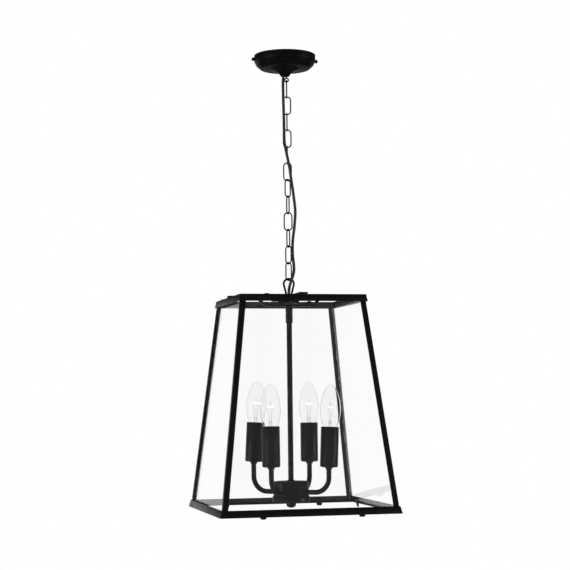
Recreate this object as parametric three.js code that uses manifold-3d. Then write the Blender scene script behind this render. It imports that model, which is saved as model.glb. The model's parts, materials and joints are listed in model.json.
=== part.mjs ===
// A square tapered glass lantern with four candle lamps. It hangs from a round ceiling rose
// on a chain of twelve links, with its flexible cable beside the chain.
// Millimetres, +Z up. The origin is on the ceiling, on the line that everything hangs along.
import * as THREE from 'three';
import { mergeVertices } from 'three/addons/utils/BufferGeometryUtils.js';
import Module from 'manifold-3d';

// The running gap between two pieces that touch.
const gap = 0.3;
// How far a cutting tool runs past the material that it cuts.
const overrun = 2;
// How many sides the small turned pieces and the small holes have.
const roundSides = 12;
const holeSides = 8;

// Ceiling bracket: a flat bar with two ends turned down and a boss for the hook.
const bracketHalfLength = 48.2;
const bracketWidth = 20;
const bracketThickness = 2.5;
const bracketTabLength = 13;
const bracketScrewPlace = 32;
const bracketScrewRadius = 2.6;
const bracketBossRadius = 5;
const bracketBossHeight = 8;

// Ceiling rose: a spun steel cup with a trumpet for an outlet. It is centred on the bracket,
// and the hook hangs a little to one side of its middle.
const roseShiftX = -3;
const roseShiftY = -1.2;
const roseRadius = 53.5;
const roseWallHeight = 11;
const roseShoulderRadius = 50;
const roseShoulderDepth = 18;
const roseFlatRadius = 43;
const roseDepth = 24;
const roseSheet = 1.2;
const trumpetRadius = 25;
const trumpetMouthRadius = 7.5;
const trumpetLength = 13;
// Each pair is a share of the flare still left and a share of the trumpet's length.
const trumpetShares = [[1, 0.06], [0.52, 0.31], [0.18, 0.62], [0, 1]];
const roseSegments = 24;

// Rose screws: two thumb screws through the rose's wall into the bracket's turned ends.
const roseScrewDrop = 8.5;
const roseScrewRadius = 1.5;
const roseScrewHeadRadius = 3;
const roseScrewHeadLength = 5;
const roseScrewReach = 4;

// Rose hook: a wire eye on a stem that is screwed into the bracket's boss.
const hookWireRadius = 1.25;
const hookEyeRadius = 3.25;
const hookEyeDrop = 1.6;
const hookStemDepth = 6;
const eyeSteps = 16;

// Terminal block in the rose, where the house wires meet the cable.
const blockLength = 19;
const blockWidth = 15;
const blockHeight = 12.5;

// Chain: twelve oval links. The chain, the eye and the loop face the viewer's side.
const hangTurn = -12.95;
const linkLength = 33.6;
const linkWidth = 15.6;
const linkWireRadius = 1.05;
const linkTurns = [90, 0, 90, 0, 90, 0, 48, 108, 180, 249, 314, 405];
const bowSteps = 8;
const wireSides = 8;

// Lantern loop: a pear-shaped wire loop on a boss, with a hollow screwed tail below.
const loopWireRadius = 1.8;
const loopRadius = 8.8;
const loopNeckHalfGap = 4.2;
const loopHeight = 26.4;
const loopSteps = 20;
const bossRadius = 6.15;
const bossHeight = 15.3;
const bossBevel = 1.2;
const rodRadius = 4.65;
const rodBoreRadius = 3.1;
const loopNutHeight = 11.5;
const couplerHeight = 16.3;
const nutRadius = 6.15;
const nutBevel = 0.8;

// Cross straps: two flat bars across the top ring, stepped down in the middle.
const strapWidth = 14.5;
const strapThickness = 3;
const strapDrop = 15.2;
const strapFlatHalf = 43.6;
const strapBendAngle = 47;

// Frame: four leaning angle posts between two rings of upright strip.
const frameTopWidth = 212.7;
const frameBottomWidth = 298.7;
const frameHeight = 364.4;
const postLeg = 9.5;
const postThickness = 2.5;
const postInset = 1;
const ringHeight = 12;
const ringThickness = 1.5;
const topRingFlare = 0.8;
const bottomRingFlare = 1.5;
const lugWidth = 6.6;
const lugPlace = 62;
const lugRise = 1.2;
const lugDrop = 1.5;

// Panes of clear glass inside the posts, and the turn clips that hold them.
const paneThickness = 3;
const clipPlace = 86;
const frontLeftClipPlace = 80;
const clipRise = 3.5;
const clipHeight = 12;
const clipWidth = 10.8;
const clipThickness = 1.5;
const clipScrewRadius = 2;
const clipHeadRadius = 3.4;
const clipHeadThickness = 1.4;
// Half the clip's outline from its top down, as shares of its width and its height.
const clipShares = [[0.2, 0.38], [0.42, 0.26], [0.5, 0.02], [0.5, -0.38], [0.42, -0.53], [0.3, -0.62]];

// Centre rod and hub.
const rodSpan = 272.4;
const rodWindowRadius = 2.6;
const collarRadius = 6.5;
const collarHeight = 2;
const hubRadius = 30.2;
const hubHeight = 30;
const hubBevel = 1.2;
const hubSheet = 1.5;
const hubSegments = 24;
const coverRadius = 32.3;
const coverRimRise = 6;
const coverLipRise = 2;
const coverPlate = 4.6;
const coverBevel = 0.9;
const finialRadius = 8.4;
const finialHeight = 9.8;
const finialSeat = 5;
// The finial's outline from its top edge down, as shares of its radius and its height.
const finialShares = [[0.9, 0], [1, 0.1], [1, 0.42], [0.9, 0.7], [0.62, 0.9], [0.3, 0.98]];
const hubBlockLength = 20;
const hubBlockWidth = 10;
const hubBlockHeight = 9;

// Lamp arms: four bent tubes out of the hub's side, each with its lampholder on top.
const armTurn = 4.8;
const armReach = 72.4;
const armDrop = 18;
const armRadius = 4.3;
const armBoreRadius = 2.8;
const armBend = 26;
const armInset = 5;
const armNutRadius = 6.5;
const armNutHeight = 3;
const nutSides = 6;
const armSteps = 10;
const armSides = 8;
const armBoreSides = 5;
const armTip = 12;
// How high each sleeve's foot stands over the arm's level part: hand-bent arms differ a little.
const armRises = [47.2, 41.4, 45.2, 39.2];
// How far each lamp leans to the right, in degrees.
const lampLeans = [3.1, -0.4, 0, 2.3];

// Sleeves over the lampholders. The foot's points are shares of the radius and of its height.
const sleeveRadius = 15.3;
const sleeveHeight = 72;
const sleeveSheet = 0.8;
const sleeveFootHeight = 6.6;
const sleeveFootShares = [[0.47, 0.53], [0.82, 0.56], [0.95, 0.72], [1, 1]];
const sleeveSegments = 12;
const holderRadius = 12.5;
const holderFoot = 8;
const holderHeight = 55.3;
const socketRadius = 7.3;

// Candle lamps: a screw cap and a clear envelope.
const lampRadius = 17.7;
const lampGlassHeight = 81.4;
const lampGlassWall = 0.9;
const lampCapRadius = 6.9;
const lampCapHeight = 25;
const lampTubeRadius = 0.8;
// The envelope's outline from the cap up, as shares of its radius and its height.
const lampShares = [
  [0.52, 0.08], [0.7, 0.145], [0.89, 0.264], [1, 0.4], [0.975, 0.55], [0.88, 0.68],
  [0.645, 0.84], [0.34, 0.95],
];
const lampSegments = 10;

// Flexible cable. Its points are chosen by hand, as places across, away and up, seen from
// the side that the chain faces. It crosses in front of the fifth link.
const cableRadius = 2.5;
const cableSides = 8;
const cableSteps = 50;
const cableStartX = -20.7;
const cableStartZ = -9.3;
const cableRoute = [
  [-18.2, -2.9, -9.4], [-12.4, -2.9, -11.1], [-7.9, -2.9, -15.6], [-6, -2.9, -22],
  [-5.6, -2.9, -37], [-6.2, -4, -50], [-6, -4.8, -78], [-5.4, -4.8, -110], [-5.2, -5, -138],
  [-4.8, -8.4, -154], [-2.6, -11.2, -168], [0.6, -11.4, -184], [3.6, -9.4, -200], [6.2, -6, -219],
  [10, -4.6, -248], [12.6, -4.2, -275], [11, -3.6, -300], [7.6, -1.2, -328], [7.4, 0, -350],
  [9.4, -1.6, -374], [7.6, -5.2, -387], [4.4, -5.4, -396], [1.2, -2.8, -406], [0, 0, -416],
];

// Levels, worked down from the ceiling.
const trumpetMouth = -roseDepth - trumpetLength;
const eyeCentre = trumpetMouth - hookEyeDrop - hookWireRadius - hookEyeRadius;
const eyeBottom = eyeCentre - hookEyeRadius;
const linkSpan = linkLength - 2 * linkWireRadius;
const linkPitch = linkSpan - 2 * linkWireRadius - gap;
const firstLinkTop = eyeBottom + hookWireRadius + linkWireRadius + gap;
const chainBottom = firstLinkTop - linkPitch * (linkTurns.length - 1) - linkSpan;
const loopTop = chainBottom + linkWireRadius + loopWireRadius + gap;
const bossTop = loopTop - loopHeight;
const bossBottom = bossTop - bossHeight;
const upperStrapFlat = bossBottom - gap - strapThickness;
const lowerStrapFlat = upperStrapFlat - gap - strapThickness;
const nutTop = lowerStrapFlat - gap;
const couplerTop = nutTop - loopNutHeight - gap;
const couplerBottom = couplerTop - couplerHeight;
const tailEnd = couplerTop - couplerHeight / 2;
const ringTop = lowerStrapFlat + strapDrop - gap;
const frameBottom = ringTop - frameHeight;
const hubTop = couplerBottom - rodSpan;
const hubBottom = hubTop - hubHeight;
const coverTop = hubBottom - gap;
const coverBottom = coverTop - coverPlate;
const finialTop = coverBottom - gap;
const rodEnd = finialTop - finialSeat + gap;
const armAxis = hubTop - armDrop;

// Sizes that follow from the frame's taper.
const frameSlope = (frameBottomWidth - frameTopWidth) / 2 / frameHeight;
const frameLean = Math.atan(frameSlope);
const paneDepth = paneThickness / Math.cos(frameLean);
const boreRadius = rodRadius + gap;
const radians = THREE.MathUtils.degToRad;

// Half the width of the frame over the posts at a level.
function postFace(level) {
  return frameTopWidth / 2 + (ringTop - level) * frameSlope;
}

// Half the width over the panes at a level: they stand inside the posts.
function paneFace(level) {
  return postFace(level) - postThickness - gap;
}

const wasm = await Module();
wasm.setup();

// A closed geometry as a solid that can be joined and cut.
function solid(geometry) {
  const bare = geometry.clone();
  bare.deleteAttribute('normal');
  bare.deleteAttribute('uv');
  const merged = mergeVertices(bare);
  return new wasm.Manifold(new wasm.Mesh({
    numProp: 3,
    vertProperties: new Float32Array(merged.attributes.position.array),
    triVerts: new Uint32Array(merged.index.array),
  }));
}

// The geometry of a solid.
function geometryOf(body) {
  const mesh = body.getMesh();
  const geometry = new THREE.BufferGeometry();
  geometry.setAttribute('position', new THREE.BufferAttribute(mesh.vertProperties, 3));
  geometry.setIndex(new THREE.BufferAttribute(mesh.triVerts, 1));
  geometry.computeVertexNormals();
  return geometry;
}

// Several closed geometries joined into one.
function join(...geometries) {
  return geometryOf(geometries.map(solid).reduce((whole, piece) => whole.add(piece)));
}

// A closed geometry with others cut out of it.
function cut(geometry, ...tools) {
  return geometryOf(tools.map(solid).reduce((whole, tool) => whole.subtract(tool), solid(geometry)));
}

// A solid of revolution about Z from points of radius and height, anticlockwise.
function turned(profile, segments) {
  const points = profile.map(([radius, height]) => new THREE.Vector2(radius, height));
  return new THREE.LatheGeometry(points, segments).rotateX(Math.PI / 2);
}

// A turned ring or tube: the profile closes on itself, clear of the axis.
function turnedRing(profile, segments) {
  return turned([...profile, profile[0]], segments);
}

// A tube with a bore and bevelled outer edges between two levels.
function collar(outer, bore, bottom, top, bevel, segments) {
  return turnedRing([
    [bore, bottom], [outer - bevel, bottom], [outer, bottom + bevel],
    [outer, top - bevel], [outer - bevel, top], [bore, top],
  ], segments);
}

// A cylinder along Z between two levels.
function bar(radius, bottom, top, segments) {
  const length = top - bottom;
  const geometry = new THREE.CylinderGeometry(radius, radius, length, segments);
  return geometry.rotateX(Math.PI / 2).translate(0, 0, bottom + length / 2);
}

// A line moved to its left by a distance, with mitred corners.
function besideLine(line, distance) {
  const points = line.map(([x, y]) => new THREE.Vector2(x, y));
  return points.map((point, i) => {
    const before = points[Math.max(i - 1, 0)];
    const after = points[Math.min(i + 1, points.length - 1)];
    const into = point.clone().sub(before).normalize();
    const out = after.clone().sub(point).normalize();
    const first = i > 0 ? into : out;
    const second = i < points.length - 1 ? out : into;
    const side = new THREE.Vector2(-first.y - second.y, first.x + second.x);
    side.multiplyScalar(distance / (1 + first.dot(second)));
    return [point.x + side.x, point.y + side.y];
  });
}

// The outline of a sheet of even thickness along a line, on the line's left.
function sheetAlong(line, thickness) {
  return [...line, ...besideLine(line, thickness).reverse()];
}

// A flat shape from points, with round holes of [x, y, radius].
function plate(points, holes, depth) {
  const shape = new THREE.Shape(points.map(([x, y]) => new THREE.Vector2(x, y)));
  for (const [x, y, radius] of holes) {
    shape.holes.push(new THREE.Path().absarc(x, y, radius, 0, Math.PI * 2));
  }
  return new THREE.ExtrudeGeometry(shape, { depth, bevelEnabled: false, curveSegments: holeSides / 2 });
}

// A round wire bent into a closed loop in the XZ plane, along a list of points.
function wireLoop(outline, radius) {
  const positions = [];
  const faces = [];
  const count = outline.length;
  outline.forEach((point, i) => {
    const into = point.clone().sub(outline[(i + count - 1) % count]).normalize();
    const out = outline[(i + 1) % count].clone().sub(point).normalize();
    const side = new THREE.Vector2(into.y + out.y, -into.x - out.x);
    side.multiplyScalar(1 / (1 + into.dot(out)));
    for (let k = 0; k < wireSides; k += 1) {
      const angle = (2 * Math.PI * k) / wireSides;
      const across = radius * Math.cos(angle);
      positions.push(point.x + side.x * across, radius * Math.sin(angle), point.y + side.y * across);
      const here = i * wireSides + k;
      const along = ((i + 1) % count) * wireSides + k;
      const round = i * wireSides + ((k + 1) % wireSides);
      const both = ((i + 1) % count) * wireSides + ((k + 1) % wireSides);
      faces.push(here, round, along, round, both, along);
    }
  });
  const geometry = new THREE.BufferGeometry();
  geometry.setAttribute('position', new THREE.Float32BufferAttribute(positions, 3));
  geometry.setIndex(faces);
  geometry.computeVertexNormals();
  return geometry;
}

// A round bar or tube along a curve.
function tubeAlong(curve, radius, sides, steps, bore, boreSides) {
  const section = new THREE.Shape();
  for (let k = 0; k < sides; k += 1) {
    const angle = (2 * Math.PI * k) / sides;
    const place = [radius * Math.cos(angle), radius * Math.sin(angle)];
    if (k === 0) section.moveTo(...place);
    else section.lineTo(...place);
  }
  if (bore > 0) {
    const hole = new THREE.Path();
    for (let k = 0; k < boreSides; k += 1) {
      const angle = (2 * Math.PI * k) / boreSides;
      const place = [bore * Math.cos(angle), bore * Math.sin(angle)];
      if (k === 0) hole.moveTo(...place);
      else hole.lineTo(...place);
    }
    section.holes.push(hole);
  }
  return new THREE.ExtrudeGeometry(section, { extrudePath: curve, steps, bevelEnabled: false });
}

// A named mesh with its own finish.
function piece(name, geometry, finish) {
  const mesh = new THREE.Mesh(geometry, new THREE.MeshStandardMaterial(finish));
  mesh.name = name;
  return mesh;
}

const blackPaint = { color: 0x1c1c1d, roughness: 0.5, metalness: 0.3 };
const blackChain = { color: 0x121212, roughness: 0.45, metalness: 0.5 };
const zincSteel = { color: 0x9a9a98, roughness: 0.4, metalness: 0.9 };
const clearGlass = { color: 0xf4f8f8, roughness: 0.02, metalness: 0, transparent: true, opacity: 0.25 };
const paleNylon = { color: 0xe8e6de, roughness: 0.6, metalness: 0 };
const blackSheath = { color: 0x0c0c0c, roughness: 0.55, metalness: 0 };

const lantern = new THREE.Group();

// Ceiling bracket, under the ceiling, centred over the rose.
const ceilingFitting = new THREE.Group();
ceilingFitting.position.set(roseShiftX, roseShiftY, 0);
lantern.add(ceilingFitting);
const bracketBar = plate([
  [-bracketHalfLength, -bracketWidth / 2], [bracketHalfLength, -bracketWidth / 2],
  [bracketHalfLength, bracketWidth / 2], [-bracketHalfLength, bracketWidth / 2],
], [
  [-bracketScrewPlace, 0, bracketScrewRadius], [bracketScrewPlace, 0, bracketScrewRadius],
], bracketThickness).translate(0, 0, -bracketThickness);
const bracketTabs = [-1, 1].map((side) => {
  const tab = new THREE.BoxGeometry(bracketThickness, bracketWidth, bracketTabLength);
  return tab.translate(side * (bracketHalfLength - bracketThickness / 2), 0, -bracketTabLength / 2);
});
const bossFoot = -bracketThickness - bracketBossHeight;
const hookBoss = bar(bracketBossRadius, bossFoot, -bracketThickness / 2, roundSides)
  .translate(-roseShiftX, -roseShiftY, 0);
const stemTop = bossFoot + hookStemDepth;
const stemBore = bar(hookWireRadius + gap, bossFoot - overrun, stemTop, holeSides)
  .translate(-roseShiftX, -roseShiftY, 0);
const sideScrewBore = bar(roseScrewRadius + gap, -roseRadius - overrun, roseRadius + overrun, holeSides)
  .rotateY(Math.PI / 2)
  .translate(0, 0, -roseScrewDrop);
ceilingFitting.add(piece(
  'ceiling_bracket',
  cut(join(bracketBar, ...bracketTabs, hookBoss), stemBore, sideScrewBore),
  zincSteel,
));

// Ceiling rose: a sheet turned along one line, from the mouth of the trumpet up to the rim.
const trumpetFlare = trumpetRadius - trumpetMouthRadius;
const roseLine = [
  ...trumpetShares.map(([flareShare, lengthShare]) => [
    trumpetMouthRadius + trumpetFlare * flareShare, -roseDepth - trumpetLength * lengthShare,
  ]).reverse(),
  [roseFlatRadius, -roseDepth],
  [roseShoulderRadius, -roseShoulderDepth],
  [roseRadius, -roseWallHeight],
  [roseRadius, 0],
];
ceilingFitting.add(piece(
  'ceiling_rose',
  cut(turnedRing(sheetAlong(roseLine, roseSheet), roseSegments), sideScrewBore),
  blackPaint,
));

// Rose screws, left and right.
const roseScrewTip = bracketHalfLength - bracketThickness - roseScrewReach;
const roseScrewNeck = roseRadius + gap;
for (const [name, turn] of [['rose_screw_left', Math.PI], ['rose_screw_right', 0]]) {
  const screw = turned([
    [0, roseScrewTip], [roseScrewRadius, roseScrewTip], [roseScrewRadius, roseScrewNeck],
    [roseScrewHeadRadius, roseScrewNeck], [roseScrewHeadRadius, roseScrewNeck + roseScrewHeadLength],
    [0, roseScrewNeck + roseScrewHeadLength],
  ], holeSides).rotateY(Math.PI / 2).rotateZ(turn).translate(0, 0, -roseScrewDrop);
  ceilingFitting.add(piece(name, screw, blackPaint));
}

// What hangs along the axis is turned to face the viewer's side.
const hanging = new THREE.Group();
hanging.rotation.z = radians(hangTurn);
lantern.add(hanging);

// Rose hook: the eye's ring with its stem up into the bracket's boss.
const eyeOutline = [];
for (let i = 0; i < eyeSteps; i += 1) {
  const angle = (2 * Math.PI * i) / eyeSteps;
  eyeOutline.push(new THREE.Vector2(hookEyeRadius * Math.cos(angle), hookEyeRadius * Math.sin(angle)));
}
const hookRing = wireLoop(eyeOutline, hookWireRadius).translate(0, 0, eyeCentre);
const hookStem = bar(hookWireRadius, eyeCentre + hookEyeRadius, stemTop - gap, wireSides);
hanging.add(piece('rose_hook', join(hookRing, hookStem), blackChain));

// Terminal block, beside the boss, at the end of the cable.
const [, cableStartY] = cableRoute[0];
const roseBlock = new THREE.BoxGeometry(blockLength, blockWidth, blockHeight);
roseBlock.translate(cableStartX - gap - blockLength / 2, cableStartY, cableStartZ);
hanging.add(piece('rose_terminal_block', roseBlock, paleNylon));

// Chain links: each bow of a link bears on the bow of the next.
const bowRadius = linkWidth / 2 - linkWireRadius;
const bowCentre = linkSpan / 2 - bowRadius;
const linkOutline = [];
for (const end of [0, 1]) {
  for (let i = 0; i <= bowSteps; i += 1) {
    const angle = Math.PI * (end + i / bowSteps);
    const centre = end === 0 ? bowCentre : -bowCentre;
    linkOutline.push(new THREE.Vector2(bowRadius * Math.cos(angle), centre + bowRadius * Math.sin(angle)));
  }
}
linkTurns.forEach((turn, i) => {
  const number = String(i + 1).padStart(2, '0');
  const link = piece(`chain_link_${number}`, wireLoop(linkOutline, linkWireRadius), blackChain);
  link.position.z = firstLinkTop - linkPitch * i - linkSpan / 2;
  link.rotation.z = radians(turn);
  hanging.add(link);
});

// Lantern loop: a pear-shaped loop from one side of its boss to the other. Its straight sides
// run off the round top where they touch it.
const loopCentre = loopTop - loopRadius;
const neckDepth = loopCentre - bossTop + loopWireRadius;
const neckReach = Math.hypot(loopNeckHalfGap, neckDepth);
const loopSlack = Math.atan2(neckDepth, loopNeckHalfGap) - Math.acos(loopRadius / neckReach);
const loopPlaces = [new THREE.Vector3(loopNeckHalfGap, 0, loopCentre - neckDepth)];
for (let i = 0; i <= loopSteps; i += 1) {
  const angle = -loopSlack + ((Math.PI + 2 * loopSlack) * i) / loopSteps;
  loopPlaces.push(new THREE.Vector3(
    loopRadius * Math.cos(angle), 0, loopCentre + loopRadius * Math.sin(angle),
  ));
}
loopPlaces.push(new THREE.Vector3(-loopNeckHalfGap, 0, loopCentre - neckDepth));
const loopStrand = tubeAlong(new THREE.CatmullRomCurve3(loopPlaces), loopWireRadius, wireSides, loopSteps);
const loopBoss = collar(bossRadius, rodBoreRadius, bossBottom, bossTop, bossBevel, roundSides);
const loopTail = collar(rodRadius, rodBoreRadius, tailEnd + gap / 2, bossBottom + bossBevel, 0, roundSides);
const loopBore = bar(rodBoreRadius, tailEnd - overrun, bossTop + overrun, roundSides);
hanging.add(piece('lantern_loop', cut(join(loopStrand, loopBoss, loopTail), loopBore), blackPaint));

// Cross straps: the lower runs left to right, the upper front to back, nested in the middle.
const strapReach = postFace(ringTop) + gap + ringThickness;
for (const [name, flat, turn] of [
  ['cross_strap_lower', lowerStrapFlat, 0],
  ['cross_strap_upper', upperStrapFlat, Math.PI / 2],
]) {
  const seat = ringTop + gap;
  const run = (seat - flat) / Math.tan(radians(strapBendAngle));
  const line = [
    [-strapReach, seat], [-strapFlatHalf - run, seat], [-strapFlatHalf, flat],
    [strapFlatHalf, flat], [strapFlatHalf + run, seat], [strapReach, seat],
  ];
  const strap = plate(sheetAlong(line, strapThickness), [], strapWidth)
    .rotateX(Math.PI / 2)
    .translate(0, strapWidth / 2, 0);
  const hole = bar(boreRadius, flat - overrun, flat + strapThickness + overrun, roundSides);
  lantern.add(piece(name, cut(strap, hole).rotateZ(turn), blackPaint));
}

// Nut and coupler on the loop's tail. The rod screws into the coupler from below.
lantern.add(piece(
  'loop_nut',
  collar(nutRadius, boreRadius, couplerTop + gap, nutTop, nutBevel, roundSides),
  blackPaint,
));
lantern.add(piece(
  'rod_coupler',
  collar(nutRadius, boreRadius, couplerBottom, couplerTop, nutBevel, roundSides),
  blackPaint,
));

// A square ring of upright strip that flares, with mitred corners: four segments of a lathe.
function squareRing(top, flare) {
  const inside = (level, extra) => (postFace(level) + gap + extra) * Math.SQRT2;
  const wall = ringThickness * Math.SQRT2;
  const bottom = top - ringHeight;
  return turnedRing([
    [inside(bottom, flare), bottom], [inside(bottom, flare) + wall, bottom],
    [inside(top, 0) + wall, top], [inside(top, 0), top],
  ], 4).rotateZ(Math.PI / 4);
}

// Top ring, with one lug a side turned in over the edge of the pane.
const lugs = [0, 1, 2, 3].map((side) => {
  const outside = postFace(ringTop) + gap + ringThickness / 2;
  const inside = paneFace(ringTop) - paneDepth;
  const lug = new THREE.BoxGeometry(lugWidth, outside - inside, lugRise + lugDrop);
  lug.translate(-lugPlace, -(outside + inside) / 2, ringTop + (lugRise - lugDrop) / 2);
  return lug.rotateZ((side * Math.PI) / 2);
});
lantern.add(piece('top_ring', join(squareRing(ringTop, topRingFlare), ...lugs), blackPaint));

// Where the clips' screws stand: below the pane's lower edge, in a frame that leans with the
// pane. There X runs along the side, Y up the pane and Z out through it.
const clipLevel = frameBottom + clipRise;
const paneBottom = clipLevel + (clipScrewRadius + gap) * Math.cos(frameLean);
const paneTop = ringTop - lugDrop - gap * 2;
const paneFrame = new THREE.Matrix4().makeRotationX(Math.PI / 2 - frameLean);
paneFrame.setPosition(0, -(paneFace(clipLevel) - paneDepth), clipLevel);
const clipScrewEnd = paneDepth + gap + postThickness + gap + ringThickness / 2
  + (bottomRingFlare * (ringHeight - clipRise)) / ringHeight;
const clipBack = -gap - clipThickness;

// Bottom ring, with the screws that the clips turn on. Each side has two, at these places.
const clipPlaces = [
  [-frontLeftClipPlace, clipPlace], [-clipPlace, clipPlace],
  [-clipPlace, clipPlace], [-clipPlace, clipPlace],
];
const clipScrews = clipPlaces.flatMap((places, side) => places.map((place) => {
  const shank = bar(clipScrewRadius, clipBack - gap - clipHeadThickness / 2, clipScrewEnd, holeSides);
  const head = bar(clipHeadRadius, clipBack - gap - clipHeadThickness, clipBack - gap, holeSides);
  return join(shank, head)
    .translate(place, 0, 0)
    .applyMatrix4(paneFrame)
    .rotateZ((side * Math.PI) / 2);
}));
const bottomRing = squareRing(frameBottom + ringHeight, bottomRingFlare);
lantern.add(piece('bottom_ring', join(bottomRing, ...clipScrews), blackPaint));

// Posts: an angle section that leans out both ways on its way down.
const postLength = frameHeight - 2 * postInset;
const leanOut = new THREE.Matrix4().set(1, 0, -frameSlope, 0, 0, 1, -frameSlope, 0, 0, 0, 1, 0, 0, 0, 0, 1);
['post_back_right', 'post_back_left', 'post_front_left', 'post_front_right'].forEach((name, corner) => {
  const post = plate([
    [0, 0], [-postLeg, 0], [-postLeg, -postThickness], [-postThickness, -postThickness],
    [-postThickness, -postLeg], [0, -postLeg],
  ], [], postLength);
  post.translate(0, 0, -postLength - postInset).applyMatrix4(leanOut);
  post.translate(frameTopWidth / 2, frameTopWidth / 2, ringTop);
  lantern.add(piece(name, post.rotateZ((corner * Math.PI) / 2), blackPaint));
});

// Panes: the front and back ones run from post to post, the side ones fit between them.
// Each side's clips lie flat on the inside of its pane.
const paneHeight = (paneTop - paneBottom) / Math.cos(frameLean);
const paneFoot = clipScrewRadius + gap;
const halfClip = clipShares.map(([across, up]) => [clipWidth * across, clipHeight * up]);
const clipOutline = [...halfClip, ...halfClip.map(([x, y]) => [-x, y]).reverse()].reverse();
['front', 'right', 'back', 'left'].forEach((side, k) => {
  const setIn = k % 2 === 0 ? 0 : paneDepth + gap;
  const low = paneFace(paneBottom) - setIn;
  const high = paneFace(paneTop) - setIn;
  const pane = plate([[-low, 0], [low, 0], [high, paneHeight], [-high, paneHeight]], [], paneThickness);
  pane.translate(0, paneFoot, 0).applyMatrix4(paneFrame);
  lantern.add(piece(`glass_${side}`, pane.rotateZ((k * Math.PI) / 2), clearGlass));
  clipPlaces[k].forEach((place, i) => {
    const clip = plate(clipOutline, [[0, 0, clipScrewRadius + gap]], clipThickness);
    clip.translate(place, 0, clipBack).applyMatrix4(paneFrame);
    lantern.add(piece(`clip_${side}_${i + 1}`, clip.rotateZ((k * Math.PI) / 2), blackPaint));
  });
});

// Centre rod: a tube from the coupler through the hub, with a window inside the hub where
// the wires come out.
const rodTube = collar(rodRadius, rodBoreRadius, rodEnd, tailEnd - gap / 2, 0, roundSides);
const rodWindow = bar(rodWindowRadius, -hubRadius, hubRadius, holeSides)
  .rotateX(Math.PI / 2)
  .translate(0, 0, armAxis);
lantern.add(piece('centre_rod', cut(rodTube, rodWindow), blackPaint));

// Hub: a collar on the rod, a spun cup with four holes, and a dished cover below it.
lantern.add(piece(
  'hub_nut',
  collar(collarRadius, boreRadius, hubTop + gap, hubTop + gap + collarHeight, 0, roundSides),
  blackPaint,
));
const hubLine = [
  [hubRadius, hubBottom], [hubRadius, hubTop - hubBevel], [hubRadius - hubBevel, hubTop],
  [boreRadius, hubTop],
];
const armTurns = [135, 225, 45, -45].map((corner) => radians(corner + armTurn));
const armHoles = armTurns.map((turn) => bar(armRadius + gap, hubRadius / 2, hubRadius + overrun, holeSides)
  .rotateY(Math.PI / 2)
  .rotateZ(turn)
  .translate(0, 0, armAxis));
lantern.add(piece(
  'hub_cup',
  cut(turnedRing(sheetAlong(hubLine, hubSheet), hubSegments), ...armHoles),
  blackPaint,
));
const coverRim = coverTop + coverRimRise;
lantern.add(piece('hub_cover', turnedRing([
  [boreRadius, coverBottom], [coverRadius - coverBevel, coverBottom],
  [coverRadius, coverBottom + coverBevel], [coverRadius, coverTop + coverLipRise],
  [hubRadius + gap + coverBevel, coverRim], [hubRadius + gap, coverRim],
  [hubRadius + gap, coverTop], [boreRadius, coverTop],
], hubSegments), blackPaint));

// Connector block in the hub, on the cover, where the lamps' wires meet the cable.
const hubBlock = new THREE.BoxGeometry(hubBlockLength, hubBlockWidth, hubBlockHeight);
hubBlock.translate(0, boreRadius + rodRadius + hubBlockWidth / 2, coverTop + gap + hubBlockHeight / 2);
lantern.add(piece('hub_terminal_block', hubBlock, paleNylon));

// Finial: a round knob screwed on the end of the rod, which holds the hub up.
const finialLine = finialShares.map(([across, down]) => [
  finialRadius * across, finialTop - finialHeight * down,
]);
lantern.add(piece('finial', turned([
  [0, finialTop - finialHeight], ...finialLine.reverse(),
  [boreRadius, finialTop], [boreRadius, finialTop - finialSeat], [0, finialTop - finialSeat],
], roundSides), blackPaint));

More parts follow.
